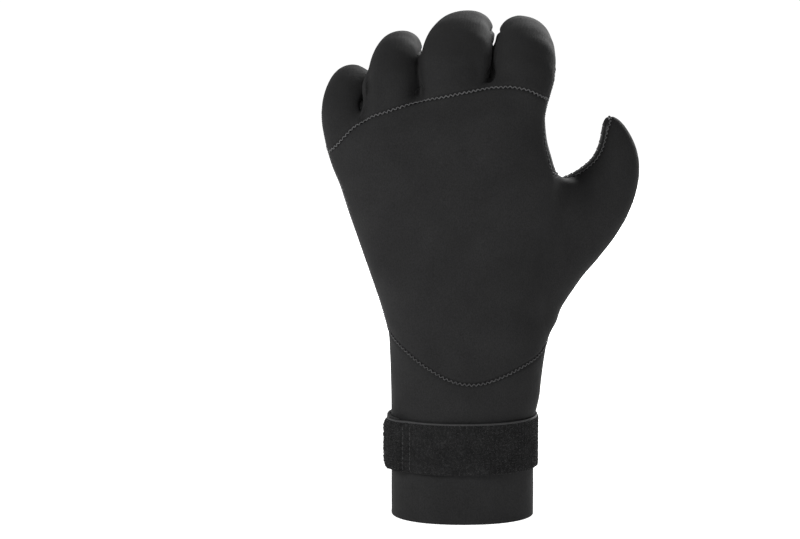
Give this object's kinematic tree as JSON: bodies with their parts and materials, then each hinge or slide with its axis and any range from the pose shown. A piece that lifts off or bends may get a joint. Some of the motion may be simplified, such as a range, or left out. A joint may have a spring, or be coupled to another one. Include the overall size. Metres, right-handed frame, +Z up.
{
  "type": "diving glove",
  "caption": "Left-hand precurved neoprene diving glove with a rubber-printed palm, a looped panel and a hook-and-loop wrist strap with a ribbed elastic.",
  "frame": {"origin": "middle of the wrist opening, at the cuff's lower edge", "axes": "+Z up the hand from the wrist opening to the fingers, +X towards the thumb, +Y towards the palm, so the back of the hand faces -Y"},
  "size_m": [0.1535, 0.0776, 0.2414],
  "materials": {
    "jersey": "matte",
    "grip_palm": "satin",
    "loop_pile": "matte",
    "ribbed_elastic": "matte"
  },
  "bodies": {
    "root": {"hand_back": "jersey", "little_finger_back": "jersey", "ring_finger_back": "jersey", "middle_finger_back": "jersey", "index_finger_back": "jersey", "little_finger_front": "grip_palm", "ring_finger_front": "grip_palm", "middle_finger_front": "grip_palm", "index_finger_front": "grip_palm", "palm": "grip_palm", "thumb_back": "jersey", "thumb_front": "grip_palm", "cuff": "jersey", "loop_panel": "loop_pile", "loop_strap": "loop_pile", "elastic_strap": "ribbed_elastic", "hook_tab": "ribbed_elastic"}
  },
  "joints": []
}
